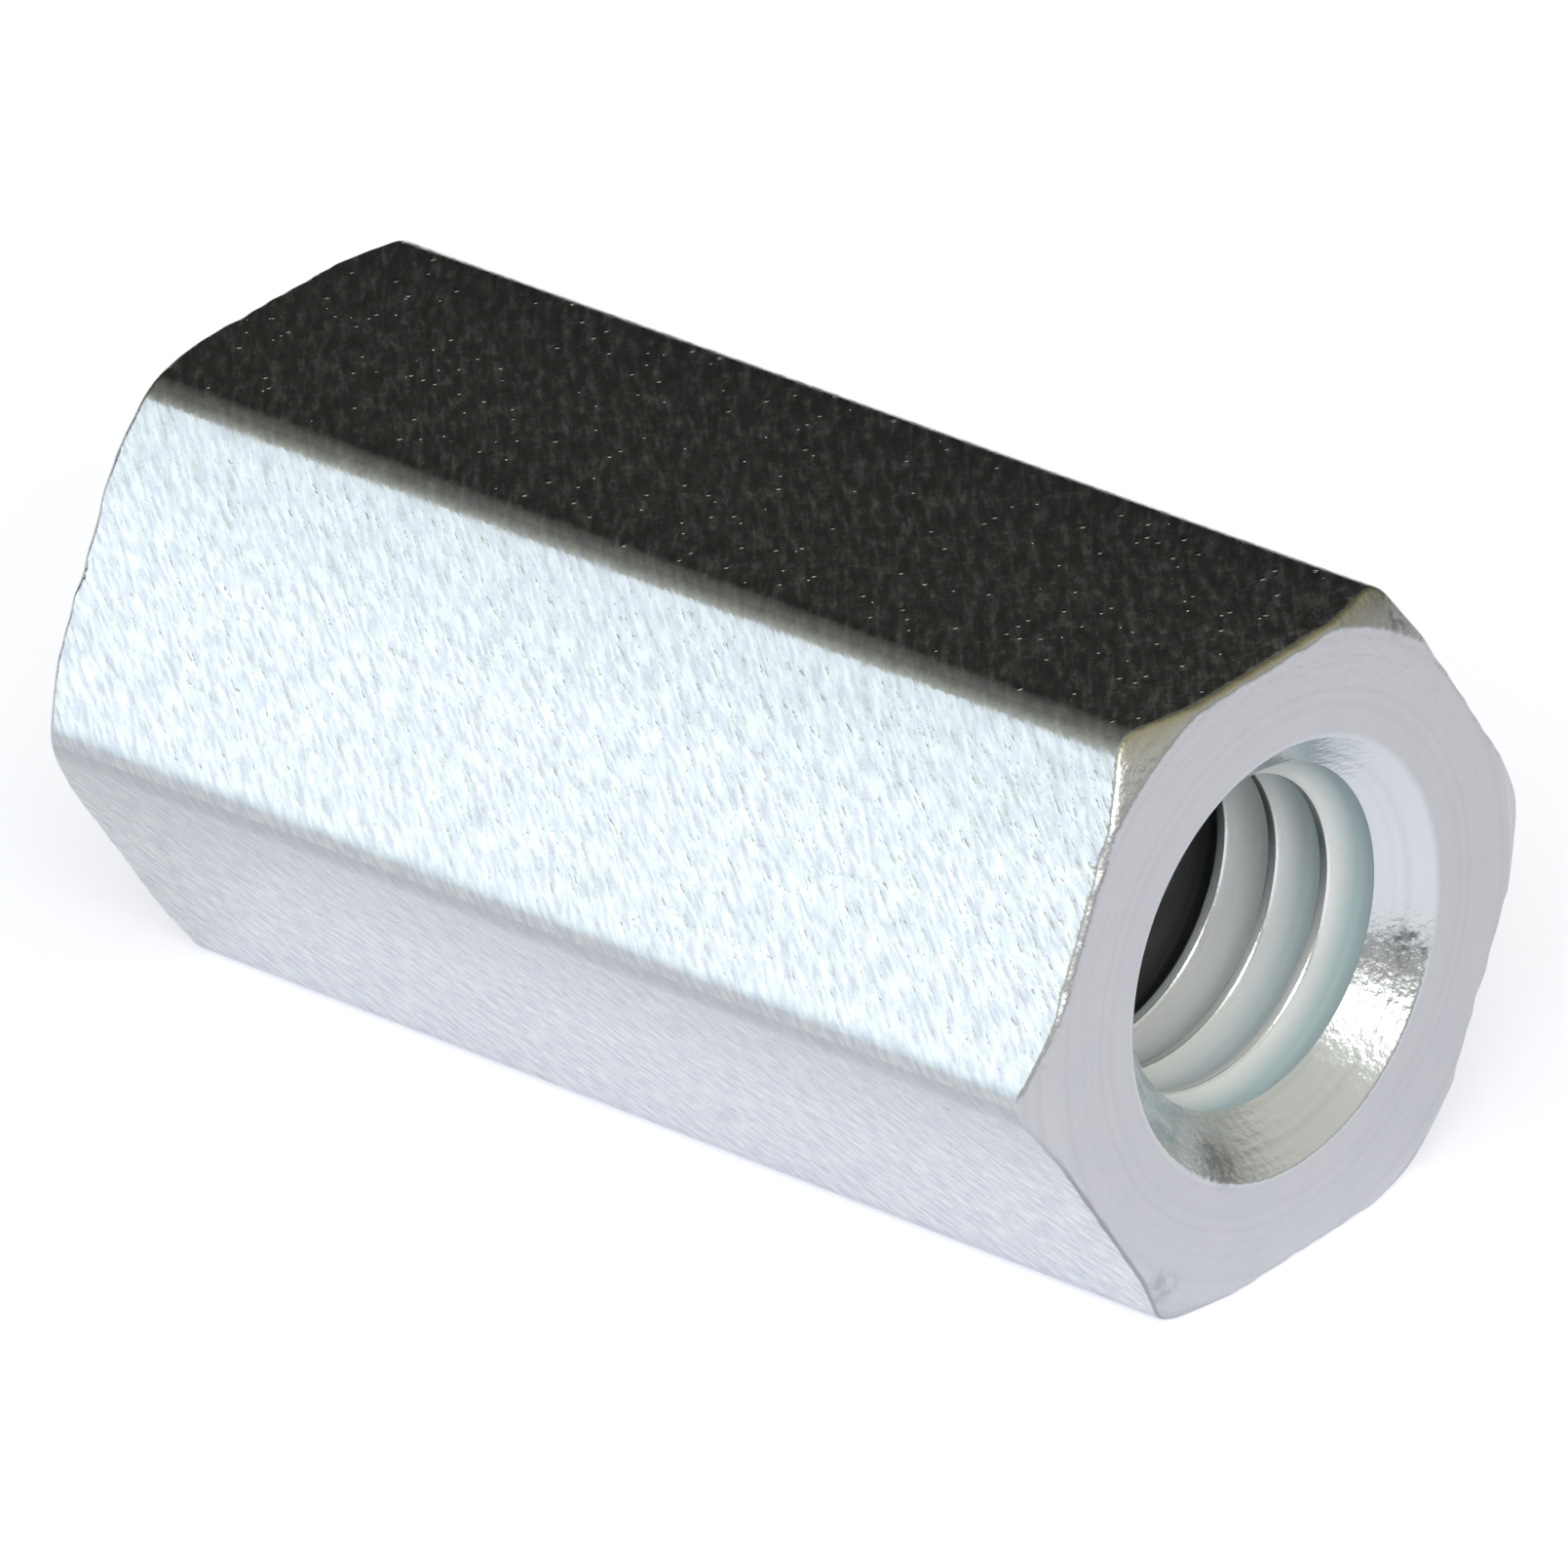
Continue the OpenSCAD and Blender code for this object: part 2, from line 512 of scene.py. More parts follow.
def assign_finishes(mesh, bar, thread, skin_share=0.97, end_lean=0.3, root_room=0.02, cone_room=0.002):
    """Gives each face the finish of how it was made.

    Drawn faces lie outside that share of half the width across flats, and lean towards the ends by
    less than that. Tapped ones lie inside the roots, and deeper than the countersink's cone. The two
    rooms, in millimetres, allow for faces that are flat where the form is round.
    """
    half_length = bar["length"] / 2 * MM
    skin_radius = bar["across_flats"] / 2 * MM * skin_share
    root_radius = (thread["root_radius"] + root_room) * MM
    cone_foot = half_length - (thread["countersink_radius"] - thread["crest_radius"]) * MM
    for face in mesh.polygons:
        x, y, z = face.center
        radius = math.hypot(y, z)
        past_cone = abs(x) - cone_foot - (radius - thread["crest_radius"] * MM)
        if radius > skin_radius and abs(face.normal.x) < end_lean:
            face.material_index = DRAWN
        elif radius < root_radius and past_cone < -cone_room * MM:
            face.material_index = TAPPED
        else:
            face.material_index = TURNED


def place_on_object(tree):
    """A place on the object in millimetres, and its parts X, Y and Z, as sockets."""
    place = add_node(tree, "ShaderNodeTexCoord").outputs["Object"]
    point = add_node(tree, "ShaderNodeVectorMath", {0: place, "Scale": 1 / MM}, operation="SCALE")
    parts = add_node(tree, "ShaderNodeSeparateXYZ", {0: point.outputs[0]})
    return point.outputs[0], parts.outputs


def distance_from_axis(tree, point):
    """How far that point lies from the axis of the bore, as a socket."""
    across = add_node(tree, "ShaderNodeVectorMath", {0: point, 1: (0, 1, 1)}, operation="MULTIPLY")
    out = add_node(tree, "ShaderNodeVectorMath", {0: across.outputs[0]}, operation="LENGTH")
    return out.outputs["Value"]


def layered_colour(tree, base, layers):
    """The base colour with layers over it, as a socket. The colours are sRGB hex.

    Each layer is a node, whose value is the share that the layer covers, and the layer's colour.
    """
    colour = linear_colour(base)
    for cover, over in layers:
        layer = add_node(tree, "ShaderNodeMix", {
            SHARE: cover.outputs[0], FROM: colour, TO: linear_colour(over)}, data_type="RGBA")
        colour = layer.outputs[BLEND]
    return colour


def new_metal(name):
    """A material with an empty node tree that ends in a metal's shader."""
    material = bpy.data.materials.new(name)
    material.use_nodes = True
    tree = material.node_tree
    tree.nodes.clear()
    surface = add_node(tree, "ShaderNodeBsdfPrincipled", {"Metallic": 1.0})
    add_node(tree, "ShaderNodeOutputMaterial", {"Surface": surface.outputs[0]})
    return material, tree, surface


def specks(tree, skin, finish, smallest=0.0168, largest=0.063, share=0.14, level=0.97):
    """The height, from 0 to 1, of tiny bright grains on the flat that faces up.

    That share of the cells over the skin hold one grain each, with a radius between the smallest and
    the largest, in millimetres. Only a surface as level as that has any. The eye sees single glints.
    """
    cell = finish.speck_spacing / MM
    cells = add_node(
        tree, "ShaderNodeTexVoronoi", {"Vector": skin, "Scale": 1 / cell}, voronoi_dimensions="2D")
    chance = add_node(tree, "ShaderNodeSeparateColor", {0: cells.outputs["Color"]})
    chosen = add_node(
        tree, "ShaderNodeMath", {0: chance.outputs[0], 1: 1 - share}, operation="GREATER_THAN")
    size = add_node(tree, "ShaderNodeMapRange", {
        "Value": chance.outputs[1], "To Min": smallest / cell, "To Max": largest / cell})
    height = add_node(tree, "ShaderNodeMapRange", {
        "Value": cells.outputs["Distance"], "From Min": size.outputs[0], "From Max": 0.0},
        interpolation_type="SMOOTHSTEP")
    grain = add_node(
        tree, "ShaderNodeMath", {0: height.outputs[0], 1: chosen.outputs[0]}, operation="MULTIPLY")
    facing = add_node(tree, "ShaderNodeTexCoord").outputs["Normal"]
    upward = add_node(tree, "ShaderNodeSeparateXYZ", {0: facing}).outputs["Z"]
    on_top = add_node(tree, "ShaderNodeMath", {0: upward, 1: level}, operation="GREATER_THAN")
    settled = add_node(
        tree, "ShaderNodeMath", {0: grain.outputs[0], 1: on_top.outputs[0]}, operation="MULTIPLY")
    return settled.outputs[0]


def drawn_zinc(finish):
    """Bright zinc plate over the drawn flats of the bar.

    Drawing and straightening leave a fine grain of short slanting streaks, which the plate follows.
    The eye sees a soft mirror with a sparkle in it.
    """
    material, tree, surface = new_metal("zinc plate over drawn flats")
    point, parts = place_on_object(tree)
    # Sizes in millimetres: the bar's mean radius, and a pebble of the plate
    mean_radius, pebble = 5.2, 0.25
    streak_depth, pebble_depth, grain_height = 0.009 * MM, 0.024 * MM, 0.026 * MM
    width, length = finish.grain_width / MM, finish.grain_length / MM
    along = parts["X"]
    angle = add_node(tree, "ShaderNodeMath", {0: parts["Z"], 1: parts["Y"]}, operation="ARCTAN2").outputs[0]
    around = add_node(tree, "ShaderNodeMath", {0: angle, 1: mean_radius}, operation="MULTIPLY").outputs[0]
    skin = add_node(tree, "ShaderNodeCombineXYZ", {"X": along, "Y": around}).outputs[0]

    # 1 on the flats, and 0 on the rounded long edges, which the die burnishes smooth
    sixfold = add_node(tree, "ShaderNodeMath", {0: angle, 1: float(FLATS)}, operation="MULTIPLY")
    cornered = add_node(tree, "ShaderNodeMath", {0: sixfold.outputs[0]}, operation="COSINE")
    on_flat = add_node(tree, "ShaderNodeMapRange", {
        "Value": cornered.outputs[0], "From Min": 0.97, "From Max": 0.9}, interpolation_type="SMOOTHSTEP")
    strength = add_node(tree, "ShaderNodeMapRange", {"Value": on_flat.outputs[0], "To Min": 0.3})

    # The streaks slant at 45 degrees to the bar
    plus = add_node(tree, "ShaderNodeMath", {0: along, 1: around}, operation="ADD").outputs[0]
    minus = add_node(tree, "ShaderNodeMath", {0: around, 1: along}, operation="SUBTRACT").outputs[0]
    slanted = add_node(tree, "ShaderNodeCombineXYZ", {"X": plus, "Y": minus}).outputs[0]
    streak_scale = (1 / length / math.sqrt(2), 1 / width / math.sqrt(2), 1)
    streak_place = add_node(
        tree, "ShaderNodeVectorMath", {0: slanted, 1: streak_scale}, operation="MULTIPLY").outputs[0]
    streaks = add_node(tree, "ShaderNodeTexNoise", {
        "Vector": streak_place, "Scale": 1.0, "Detail": 1.0}, noise_dimensions="2D")
    pebbles = add_node(tree, "ShaderNodeTexNoise", {"Vector": point, "Scale": 1 / pebble, "Detail": 3.0})
    bump = add_node(tree, "ShaderNodeBump", {
        "Height": streaks.outputs[0], "Strength": strength.outputs[0], "Distance": streak_depth})
    coarse = add_node(tree, "ShaderNodeBump", {
        "Height": pebbles.outputs[0], "Strength": strength.outputs[0], "Distance": pebble_depth,
        "Normal": bump.outputs[0]})
    glints = add_node(tree, "ShaderNodeBump", {
        "Height": specks(tree, skin, finish), "Strength": 1.0, "Distance": grain_height,
        "Normal": coarse.outputs[0]})

    lit_streaks = add_node(tree, "ShaderNodeMapRange", {
        "Value": streaks.outputs[0], "From Min": 0.35, "From Max": 0.65})
    # Each flat gets painted shade towards one side. This runs from 0 there to 1 at the other side.
    flat_number = add_node(tree, "ShaderNodeMath", {0: angle, 1: 2 * HALF_FLAT}, operation="DIVIDE")
    across_flat = add_node(tree, "ShaderNodeMath", {0: flat_number.outputs[0]}, operation="FRACT")
    painted_side_shade = add_node(tree, "ShaderNodeMapRange", {
        "Value": across_flat.outputs[0], "From Min": 0.45, "From Max": 0.02, "To Max": 0.5})
    # Painted shade on the rounded long edges, darker than the flats
    painted_shade = add_node(tree, "ShaderNodeMapRange", {
        "Value": on_flat.outputs[0], "To Min": 0.3, "To Max": 0.0})
    colour = layered_colour(tree, finish.plate_shade, (
        (lit_streaks, finish.plate_colour), (painted_side_shade, finish.side_shade_colour),
        (painted_shade, finish.long_edge_shade_colour)))

    # The plate is frosted in patches, which catch light from a wider part of the room
    patches_per_streak = 0.6
    frost = add_node(tree, "ShaderNodeTexNoise", {
        "Vector": streak_place, "Scale": patches_per_streak, "Detail": 4.0, "Roughness": 0.65},
        noise_dimensions="2D")
    rough = add_node(tree, "ShaderNodeMapRange", {
        "Value": frost.outputs[0], "From Min": 0.36, "From Max": 0.72, "To Min": 0.13, "To Max": 0.36})
    tree.links.new(colour, surface.inputs["Base Color"])
    tree.links.new(glints.outputs[0], surface.inputs["Normal"])
    tree.links.new(rough.outputs[0], surface.inputs["Roughness"])
    return material


def knocks_and_painted_shade(tree, point):
    """How dark the patches are, from 0 to 1, as a socket.

    All lie in broken spots. On two corners of the near end they are knocks in transport, which took off
    plate. In its countersink, one is painted shade beside the lamp's highlight, and one is a dark patch
    lower down.
    """
    # The middle of each patch, its radius, both in millimetres, and how dark it is
    patches = (
        ((9.8, 3.1, 4.5), 0.55, 0.6), ((9.9, -3.2, -4.1), 0.45, 0.3),
        # Of these two in the countersink, the first is painted shade beside the lamp's highlight
        ((9.78, 2.95, -1.2), 0.4, 0.65), ((9.72, -1.5, -2.8), 0.5, 0.4))
    spot = 2 / 9
    spots = add_node(tree, "ShaderNodeTexNoise", {
        "Vector": point, "Scale": 1 / spot, "Detail": 4.0, "Roughness": 0.65})
    broken = add_node(tree, "ShaderNodeMapRange", {
        "Value": spots.outputs[0], "From Min": 0.44, "From Max": 0.56})
    patched = None
    for centre, radius, share in patches:
        away = add_node(tree, "ShaderNodeVectorMath", {0: point, 1: centre}, operation="DISTANCE")
        patch = add_node(tree, "ShaderNodeMapRange", {
            "Value": away.outputs["Value"], "From Min": radius, "From Max": 0.5 * radius, "To Max": share})
        if patched:
            patch = add_node(
                tree, "ShaderNodeMath", {0: patched.outputs[0], 1: patch.outputs[0]}, operation="MAXIMUM")
        patched = patch
    knocks_and_shade = add_node(
        tree, "ShaderNodeMath", {0: patched.outputs[0], 1: broken.outputs[0]}, operation="MULTIPLY")
    return knocks_and_shade.outputs[0]


def turned_zinc(finish):
    """Bright zinc plate over turned steel: the end faces, the chamfers and the countersinks.

    The lathe tool leaves fine rings round the axis. The eye sees a satin grey that draws each light
    out into a fan across the rings.
    """
    material, tree, surface = new_metal("zinc plate over turned ends")
    point, parts = place_on_object(tree)
    out = distance_from_axis(tree, point)
    # Sizes in millimetres: a ring, a ripple of the tool's chatter, a pebble and a blotch of the plate
    feed, ripple, pebble, blotch = finish.turning_feed / MM, 1 / 5, 1 / 7, 5 / 6
    ring_depth, ripple_depth, pebble_depth = 0.003 * MM, 0.006 * MM, 0.014 * MM
    ring_place = add_node(tree, "ShaderNodeCombineXYZ", {"X": out, "Y": parts["X"]}).outputs[0]
    rings = add_node(tree, "ShaderNodeTexNoise", {
        "Vector": ring_place, "Scale": 1 / feed, "Detail": 2.0, "Roughness": 0.6}, noise_dimensions="2D")
    chatter = add_node(tree, "ShaderNodeTexNoise", {
        "Vector": ring_place, "Scale": 1 / ripple, "Detail": 1.0}, noise_dimensions="2D")
    pebbles = add_node(tree, "ShaderNodeTexNoise", {"Vector": point, "Scale": 1 / pebble, "Detail": 2.0})
    fine = add_node(tree, "ShaderNodeBump", {
        "Height": rings.outputs[0], "Strength": 1.0, "Distance": ring_depth})
    coarse = add_node(tree, "ShaderNodeBump", {
        "Height": chatter.outputs[0], "Strength": 1.0, "Distance": ripple_depth,
        "Normal": fine.outputs[0]})
    plated = add_node(tree, "ShaderNodeBump", {
        "Height": pebbles.outputs[0], "Strength": 1.0, "Distance": pebble_depth,
        "Normal": coarse.outputs[0]})

    blotches = add_node(tree, "ShaderNodeTexNoise", {"Vector": point, "Scale": 1 / blotch, "Detail": 4.0})
    lip = COUNTERSINK_RADIUS / MM
    in_countersink = add_node(tree, "ShaderNodeMapRange", {
        "Value": out, "From Min": lip + 0.08, "From Max": lip - 0.04})
    # Some rings were cut deeper, and show as faint darker lines
    deep_ring = add_node(tree, "ShaderNodeMapRange", {
        "Value": chatter.outputs[0], "From Min": 0.52, "From Max": 0.75, "To Max": 0.07})

    # How squarely the surface faces the bar's ends tells the rounded edges from what they join
    facing = add_node(tree, "ShaderNodeTexCoord").outputs["Normal"]
    along_axis = add_node(tree, "ShaderNodeSeparateXYZ", {0: facing}).outputs["X"]
    squarely = add_node(tree, "ShaderNodeMath", {0: along_axis}, operation="ABSOLUTE").outputs[0]
    # Only the outer edges carry painted shade, which lie further out than this
    edge_shade_from = 4.2
    outside = add_node(
        tree, "ShaderNodeMath", {0: out, 1: edge_shade_from}, operation="GREATER_THAN").outputs[0]
    # The lower ones get painted shade, dark
    lower = add_node(tree, "ShaderNodeMapRange", {
        "Value": parts["Z"], "From Min": 0.0, "From Max": -1.5, "To Max": 0.5})
    lower_edge_shade_mask = add_node(tree, "ShaderNodeMapRange", {
        "Value": squarely, "From Min": 0.84, "From Max": 0.66, "To Max": lower.outputs[0]})
    lower_edge_shade = add_node(tree, "ShaderNodeMath", {0: lower_edge_shade_mask.outputs[0], 1: outside}, operation="MULTIPLY")
    dark = add_node(tree, "ShaderNodeMath", {
        0: lower_edge_shade.outputs[0], 1: knocks_and_painted_shade(tree, point)}, operation="MAXIMUM")
    # The upper one and the chamfers beside it get painted shade in a yellowish grey
    upper = add_node(tree, "ShaderNodeMapRange", {
        "Value": parts["Z"], "From Min": 4.3, "From Max": 4.85, "To Max": 0.75})
    on_edge = add_node(tree, "ShaderNodeMapRange", {
        "Value": squarely, "From Min": 0.95, "From Max": 0.75, "To Max": upper.outputs[0]})
    painted_shade = add_node(tree, "ShaderNodeMath", {0: on_edge.outputs[0], 1: outside}, operation="MULTIPLY")
    colour = layered_colour(tree, finish.plate_shade, (
        (blotches, finish.turned_colour), (in_countersink, finish.countersink_colour),
        (deep_ring, finish.bruise_and_shade_colour), (painted_shade, finish.upper_edge_shade_colour), (dark, finish.bruise_and_shade_colour)))

    # The cutter leaves the countersinks brighter than the tool leaves the end faces
    rough = add_node(tree, "ShaderNodeMapRange", {
        "Value": in_countersink.outputs[0], "To Min": 0.28, "To Max": 0.21})
    tangent = add_node(tree, "ShaderNodeTangent", direction_type="RADIAL", axis="X")
    tree.links.new(tangent.outputs[0], surface.inputs["Tangent"])
    tree.links.new(colour, surface.inputs["Base Color"])
    tree.links.new(plated.outputs[0], surface.inputs["Normal"])
    tree.links.new(rough.outputs[0], surface.inputs["Roughness"])
    surface.inputs["Metallic"].default_value = 0.85
    surface.inputs["Anisotropic"].default_value = 0.3
    return material


def tapped_zinc(finish):
    """Zinc plate in the tapped bore.

    The eye sees a dull bluish grey on the first turns of the thread. Deeper down the bore carries painted
    shade, a dark grey.
    """
    material, tree, surface = new_metal("zinc plate in the tapped bore")
    point, parts = place_on_object(tree)
    out = distance_from_axis(tree, point)
    height = parts["Z"]
    from_middle = add_node(tree, "ShaderNodeMath", {0: parts["X"]}, operation="ABSOLUTE").outputs[0]
    # In millimetres: a pebble of the plate, the crests' radius, and the mouth's distance from the middle
    pebble, crest, mouth = 1 / 9, CREST_RADIUS / MM, BAR_LENGTH / 2 / MM
    pebble_depth = 0.006 * MM
    pebbles = add_node(tree, "ShaderNodeTexNoise", {"Vector": point, "Scale": 1 / pebble, "Detail": 3.0})
    bump = add_node(tree, "ShaderNodeBump", {
        "Height": pebbles.outputs[0], "Strength": 1.0, "Distance": pebble_depth})

    # The blue-green film in the roots, darkened with painted shade, thins out over the first turns
    in_root = add_node(tree, "ShaderNodeMapRange", {"Value": out, "From Min": 2.6, "From Max": 2.9})
    near_mouth = add_node(tree, "ShaderNodeMapRange", {
        "Value": from_middle, "From Min": mouth - 2.8, "From Max": mouth - 1.8, "To Min": 0.1})
    root_film_and_shade = add_node(
        tree, "ShaderNodeMath", {0: in_root.outputs[0], 1: near_mouth.outputs[0]}, operation="MULTIPLY")
    # In the upper half of the bore the crests are painted dark: a painted reflection of the bore's dark
    # depth
    painted_shade = add_node(tree, "ShaderNodeMapRange", {
        "Value": height, "From Min": -1.6, "From Max": 0.4, "To Min": 0.15})
    painted_crest_shade = add_node(tree, "ShaderNodeMapRange", {
        "Value": out, "From Min": crest + 0.016, "From Max": crest + 0.008, "To Max": painted_shade.outputs[0]})
    coat = layered_colour(tree, finish.flank_colour, (
        (root_film_and_shade, finish.root_film_and_shade_colour), (painted_crest_shade, finish.crest_shade_colour)))
    # The painted shade deeper in the bore starts near one turn of the thread, and nearer the mouth at the
    # top
    shorter_by_height = -0.14
    turn_rise = add_node(tree, "ShaderNodeMath", {0: height, 1: shorter_by_height}, operation="MULTIPLY")
    along_turn = add_node(
        tree, "ShaderNodeMath", {0: from_middle, 1: turn_rise.outputs[0]}, operation="ADD")
    deep_shade_edge = (BAR_LENGTH / 2 - finish.deep_shade_depth) / MM
    plated = add_node(tree, "ShaderNodeMapRange", {
        "Value": along_turn.outputs[0], "From Min": deep_shade_edge - 0.15, "From Max": deep_shade_edge + 0.12},
        interpolation_type="SMOOTHSTEP")
    # Past that edge the bore is painted dark: painted shade
    tone = add_node(tree, "ShaderNodeMix", {
        SHARE: plated.outputs[0], FROM: linear_colour(finish.deep_shade_colour), TO: coat}, data_type="RGBA")

    # Low down the rounded edges of the crests are bright metal, and the film in the roots is dull
    rough = add_node(tree, "ShaderNodeMapRange", {
        "Value": in_root.outputs[0], "To Min": 0.25, "To Max": 0.6})
    dulled = add_node(tree, "ShaderNodeMapRange", {
        "Value": in_root.outputs[0], "To Min": 0.08, "To Max": 0.0})
    past_crest = add_node(tree, "ShaderNodeMath", {0: out, 1: crest + 0.004}, operation="GREATER_THAN")
    polished = add_node(tree, "ShaderNodeMapRange", {
        "Value": height, "From Min": 0.9, "From Max": -0.1, "To Max": 0.85})
    bright_edge = add_node(tree, "ShaderNodeMapRange", {
        "Value": out, "From Min": crest + 0.06, "From Max": crest + 0.04, "To Max": polished.outputs[0]})
    edge = add_node(tree, "ShaderNodeMath", {
        0: past_crest.outputs[0], 1: bright_edge.outputs[0]}, operation="MULTIPLY")
    metal = add_node(
        tree, "ShaderNodeMath", {0: dulled.outputs[0], 1: edge.outputs[0]}, operation="MAXIMUM")
    tree.links.new(tone.outputs[BLEND], surface.inputs["Base Color"])
    tree.links.new(bump.outputs[0], surface.inputs["Normal"])
    tree.links.new(rough.outputs[0], surface.inputs["Roughness"])
    tree.links.new(metal.outputs[0], surface.inputs["Metallic"])
    return material


def softbox(name, towards, distance, width, height, brightness, colour):
    """A soft rectangular lamp that faces the origin from that direction.

    Its face looks as bright as that brightness times its colour.
    """
    lamp = bpy.data.lights.new(name, "AREA")
    lamp.shape = "RECTANGLE"
    lamp.size = width
    lamp.size_y = height
    lamp.energy = brightness * math.pi * width * height
    lamp.color = linear_colour(colour)[:3]
    standing = bpy.data.objects.new(name, lamp)
    standing.location = towards * distance
    standing.rotation_mode = "QUATERNION"
    standing.rotation_quaternion = towards.to_track_quat("Z", "Y")
    standing.visible_camera = False
    bpy.context.scene.collection.objects.link(standing)


def floor_material(stage):
    """Matt white card, which falls into shade on the side away from the lamps.

    A glow makes it look white to the camera, and pale in the metal. Matt surfaces get no light from it.
    """
    # The glow that the camera sees, the one that the metal mirrors, and where the shade starts and ends
    seen_glow, mirrored_glow = 0.62, 0.43
    shade_from, shade_to = 22 * MM, 65 * MM
    material = bpy.data.materials.new("white card")
    material.use_nodes = True
    tree = material.node_tree
    tree.nodes.clear()
    place = add_node(tree, "ShaderNodeTexCoord").outputs["Object"]
    shaded_side = direction(math.radians(55), 0)
    away = add_node(tree, "ShaderNodeVectorMath", {0: place, 1: shaded_side}, operation="DOT_PRODUCT")
    shade = add_node(tree, "ShaderNodeMapRange", {
        "Value": away.outputs["Value"], "From Min": shade_from, "From Max": shade_to},
        interpolation_type="SMOOTHSTEP")
    colour = add_node(tree, "ShaderNodeMix", {
        SHARE: shade.outputs[0],
        FROM: linear_colour(stage.floor_colour), TO: linear_colour(stage.shade_colour)},
        data_type="RGBA").outputs[BLEND]
    path = add_node(tree, "ShaderNodeLightPath")
    mirrored = add_node(tree, "ShaderNodeMath", {
        0: path.outputs["Is Glossy Ray"], 1: path.outputs["Is Transmission Ray"]}, operation="MAXIMUM")
    to_metal = add_node(
        tree, "ShaderNodeMath", {0: mirrored.outputs[0], 1: mirrored_glow}, operation="MULTIPLY")
    to_camera = add_node(
        tree, "ShaderNodeMath", {0: path.outputs["Is Camera Ray"], 1: seen_glow}, operation="MULTIPLY")
    strength = add_node(tree, "ShaderNodeMath", {
        0: to_camera.outputs[0], 1: to_metal.outputs[0]}, operation="MAXIMUM")
    matt = add_node(tree, "ShaderNodeBsdfDiffuse", {"Color": colour})
    glow = add_node(tree, "ShaderNodeEmission", {"Color": colour, "Strength": strength.outputs[0]})
    both = add_node(tree, "ShaderNodeAddShader", {0: matt.outputs[0], 1: glow.outputs[0]})
    add_node(tree, "ShaderNodeOutputMaterial", {"Surface": both.outputs[0]})
    return material


def studio_room(stage):
    """The room round the table: pale walls, and one unlit end that the top flat reflects."""
    world = bpy.data.worlds.new("studio room")
    bpy.context.scene.world = world
    world.use_nodes = True
    tree = world.node_tree
    tree.nodes.clear()
    unlit_end = direction(math.radians(140), math.radians(20))
    look = add_node(tree, "ShaderNodeTexCoord").outputs["Generated"]
    towards = add_node(tree, "ShaderNodeVectorMath", {0: look, 1: unlit_end}, operation="DOT_PRODUCT")
    share = add_node(tree, "ShaderNodeMapRange", {
        "Value": towards.outputs["Value"], "From Min": -1.0, "From Max": 1.0})
    ramp = add_node(tree, "ShaderNodeValToRGB", {0: share.outputs[0]})
    # Degrees from the middle of the unlit end, and how bright the walls are there
    stops = ((75, 1.0), (65, 0.62), (57, 0.4), (50, 0.31), (35, 0.21), (25, 0.13), (18, 0.045))
    elements = ramp.color_ramp.elements
    while len(elements) < len(stops):
        elements.new(0.5)
    for element, (angle, level) in zip(elements, stops):
        element.position = (1 + math.cos(math.radians(angle))) / 2
        element.color = (level, level, level, 1)
    # The foot of the walls is darker, most of all at the front. Its edges are sines of elevation.
    foot_from, foot_to = 0.09, 0.27
    height = add_node(tree, "ShaderNodeSeparateXYZ", {0: look})
    front = direction(math.radians(-40), 0)
    facing_front = add_node(tree, "ShaderNodeVectorMath", {0: look, 1: front}, operation="DOT_PRODUCT")
    foot_level = add_node(tree, "ShaderNodeMapRange", {
        "Value": facing_front.outputs["Value"],
        "From Min": 0.6, "From Max": 0.9, "To Min": 0.42, "To Max": 0.06})
    foot = add_node(tree, "ShaderNodeMapRange", {
        "Value": height.outputs["Z"], "From Min": foot_from, "From Max": foot_to,
        "To Min": foot_level.outputs[0], "To Max": 1.0})
    level = add_node(
        tree, "ShaderNodeMath", {0: ramp.outputs[0], 1: foot.outputs[0]}, operation="MULTIPLY")
    wall = add_node(tree, "ShaderNodeMix", {
        SHARE: 1.0, FROM: linear_colour(stage.wall_colour), TO: level.outputs[0]},
        data_type="RGBA", blend_type="MULTIPLY")
    background = add_node(tree, "ShaderNodeBackground", {"Color": wall.outputs[BLEND], "Strength": 1.0})
    add_node(tree, "ShaderNodeOutputWorld", {"Surface": background.outputs[0]})


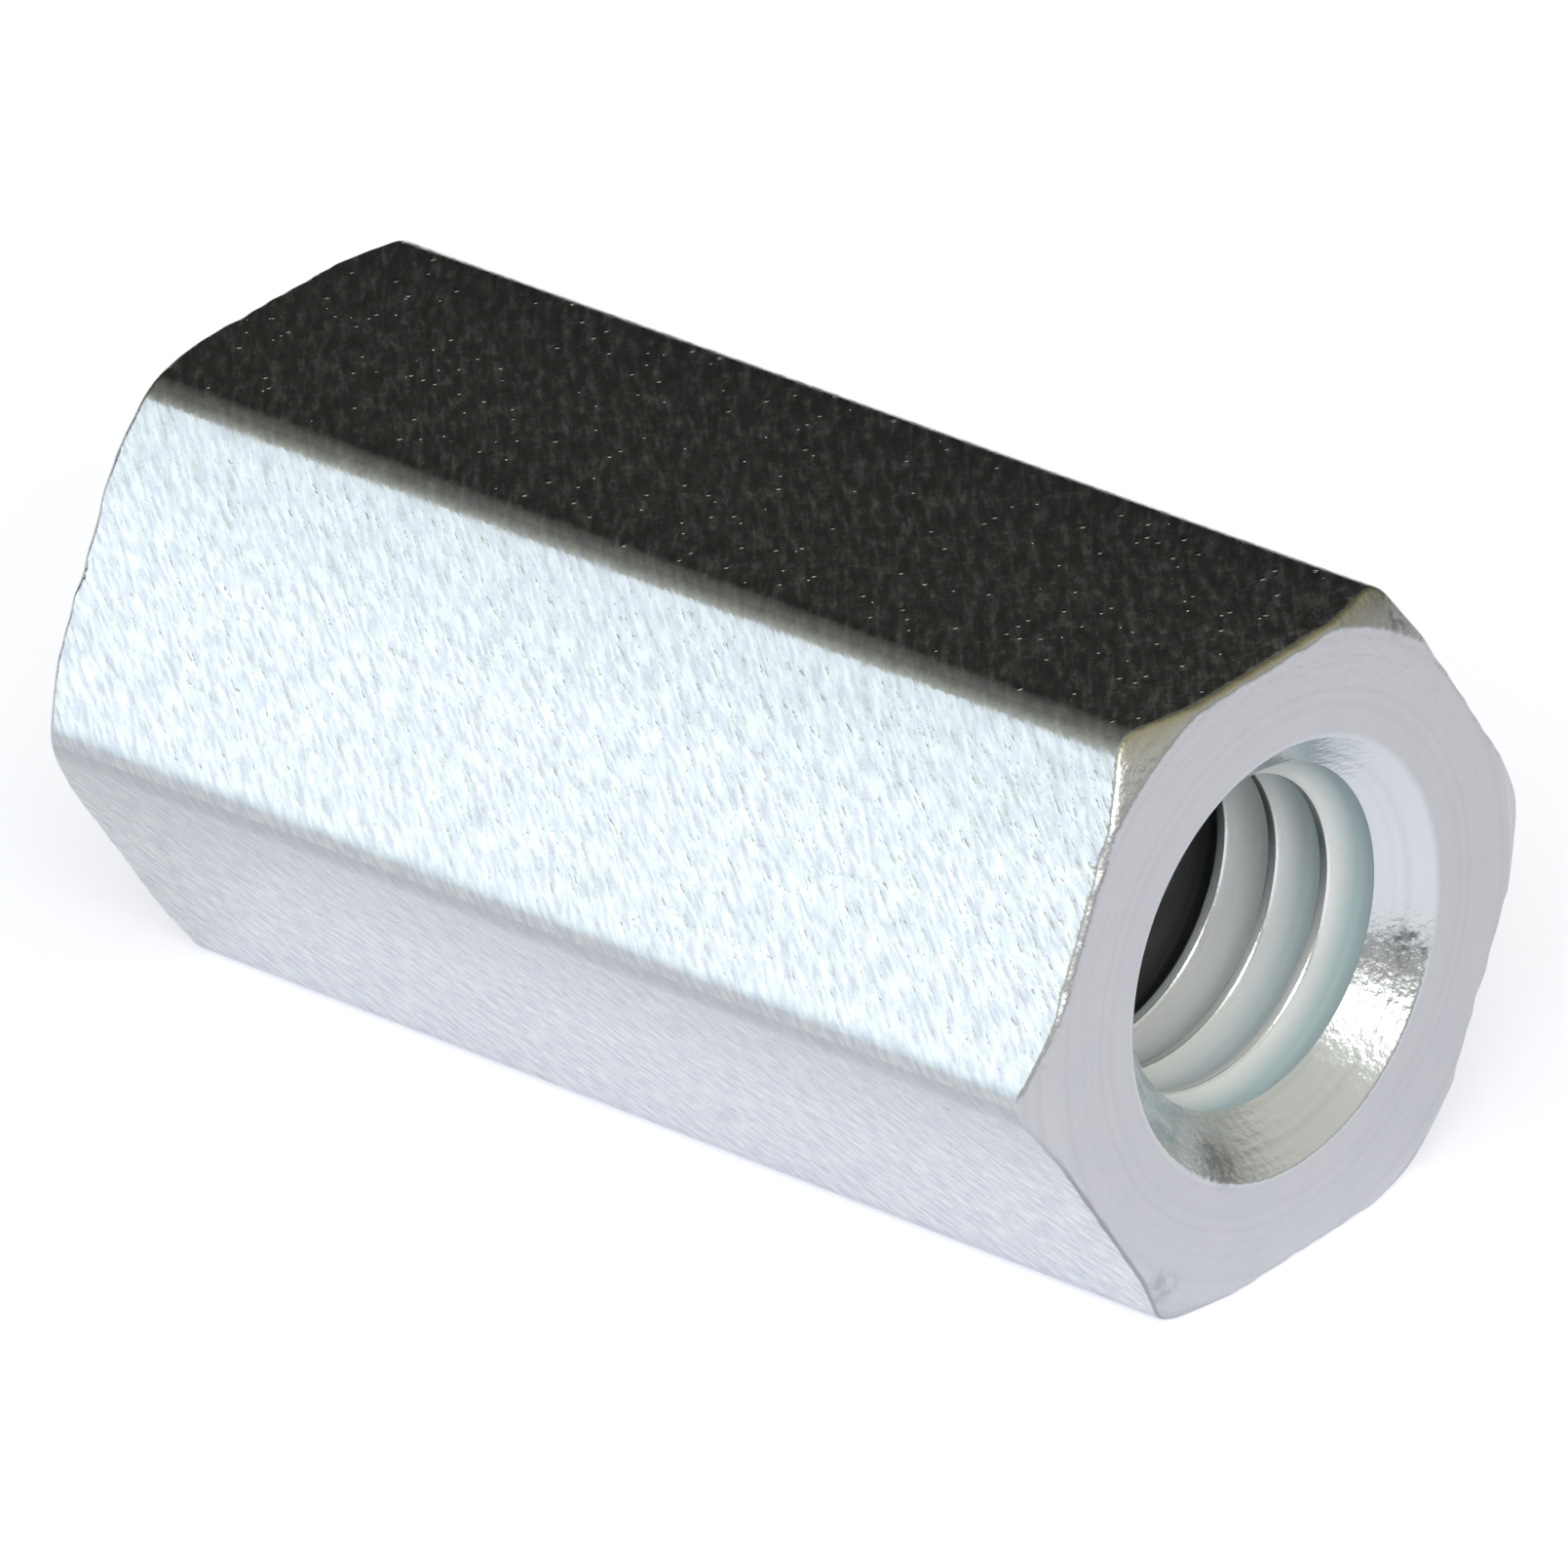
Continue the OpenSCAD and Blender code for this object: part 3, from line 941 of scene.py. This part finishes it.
class SCENE_OT_standoff_stage(bpy.types.Operator):
    """Make the stage: a pale table, soft studio light and the camera"""
    bl_idname = "scene.standoff_stage"
    bl_label = "Stage"

    def execute(self, context):
        stage = context.scene.standoff_stage
        # In metres
        half_side = 2.0
        floor_mesh = bpy.data.meshes.new("floor")
        level = CAD_BOX[0].z
        corners = [(-half_side, -half_side, level), (half_side, -half_side, level),
                   (half_side, half_side, level), (-half_side, half_side, level)]
        floor_mesh.from_pydata(corners, [], [(0, 1, 2, 3)])
        floor_mesh.materials.append(floor_material(stage))
        floor = bpy.data.objects.new("floor", floor_mesh)
        context.scene.collection.objects.link(floor)

        studio_room(stage)
        # Name, azimuth and elevation in degrees, distance, width and height in metres, brightness, colour
        for name, azimuth, elevation, distance, width, height, brightness, colour in (
                ("key_softbox", -129, 12, 0.9, 0.9, 0.52, 1.06, stage.key_colour),
                ("side_lamp", -23, 28, 0.8, 0.24, 0.24, 3.7, "#FFFFFF"),
                ("front_lamp", -50, 40, 0.6, 0.28, 0.28, 3.6, "#FFFFFF")):
            towards = direction(math.radians(azimuth), math.radians(elevation))
            softbox(name, towards, distance, width, height, brightness, colour)

        lens = bpy.data.cameras.new("camera")
        lens.lens = stage.lens
        lens.sensor_width = 36
        lens.clip_start = 0.01
        camera = bpy.data.objects.new("camera", lens)
        back = direction(stage.azimuth - math.pi / 2, stage.elevation)
        camera.location = Vector(stage.aim) + back * stage.distance
        camera.rotation_mode = "QUATERNION"
        camera.rotation_quaternion = (-back).to_track_quat("-Z", "Y") @ Quaternion((0, 0, 1), stage.roll)
        context.scene.collection.objects.link(camera)
        context.scene.camera = camera
        context.scene.view_settings.view_transform = "Standard"
        return {"FINISHED"}


class VIEW3D_PT_hex_standoff(bpy.types.Panel):
    """The sizes and finishes of the standoff, and its stage"""
    bl_label = "Hex standoff"
    bl_idname = "VIEW3D_PT_hex_standoff"
    bl_space_type = "VIEW_3D"
    bl_region_type = "UI"
    bl_category = "Standoff"

    def draw(self, context):
        for group, operator in (
                ("standoff_bar", None), ("standoff_thread", None),
                ("standoff_finish", MESH_OT_hex_standoff), ("standoff_stage", SCENE_OT_standoff_stage)):
            settings = getattr(context.scene, group)
            column = self.layout.column(align=True)
            for name in settings.__annotations__:
                column.prop(settings, name)
            if operator:
                self.layout.operator(operator.bl_idname)


GROUPS = {
    "standoff_bar": StandoffBarSettings,
    "standoff_thread": StandoffThreadSettings,
    "standoff_finish": StandoffFinishSettings,
    "standoff_stage": StandoffStageSettings,
}
CLASSES = (*GROUPS.values(), MESH_OT_hex_standoff, SCENE_OT_standoff_stage, VIEW3D_PT_hex_standoff)


def register():
    for each in CLASSES:
        bpy.utils.register_class(each)
    for name, group in GROUPS.items():
        setattr(bpy.types.Scene, name, PointerProperty(type=group))


def unregister():
    for name in GROUPS:
        delattr(bpy.types.Scene, name)
    for each in reversed(CLASSES):
        bpy.utils.unregister_class(each)


def main():
    register()
    bpy.ops.scene.standoff_stage()
    bpy.ops.mesh.hex_standoff()


if __name__ == "__main__":
    main()
